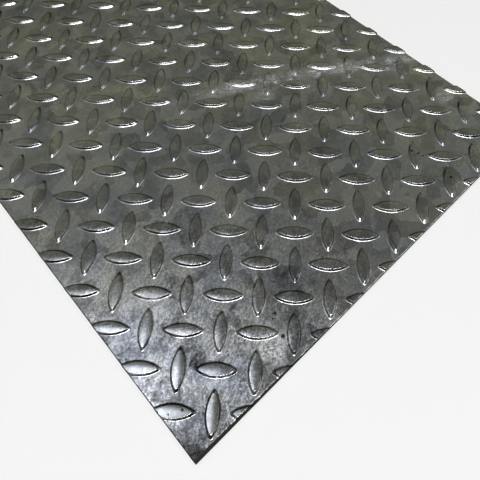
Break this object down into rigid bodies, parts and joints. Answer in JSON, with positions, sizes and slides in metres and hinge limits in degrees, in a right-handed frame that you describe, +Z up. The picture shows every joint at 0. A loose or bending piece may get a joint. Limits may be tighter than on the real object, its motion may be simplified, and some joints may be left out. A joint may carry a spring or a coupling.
{
  "type": "checker steel plate",
  "caption": "Flat rolled steel floor plate with raised lens-shaped lugs, crossed at right angles on its upper face, and sheared square edges.",
  "frame": {"origin": "middle of the flat underside, on the surface that the plate lies on", "axes": "+X across the plate, +Y along its length, +Z up, out of the side with the lugs"},
  "size_m": [0.3, 0.4, 0.0045],
  "materials": {
    "steel": "bare rolled mill finish, grey with cloudy mottling, fine scratches and rubbed lug crowns"
  },
  "bodies": {
    "root": {"checker_plate": "steel"}
  },
  "joints": []
}
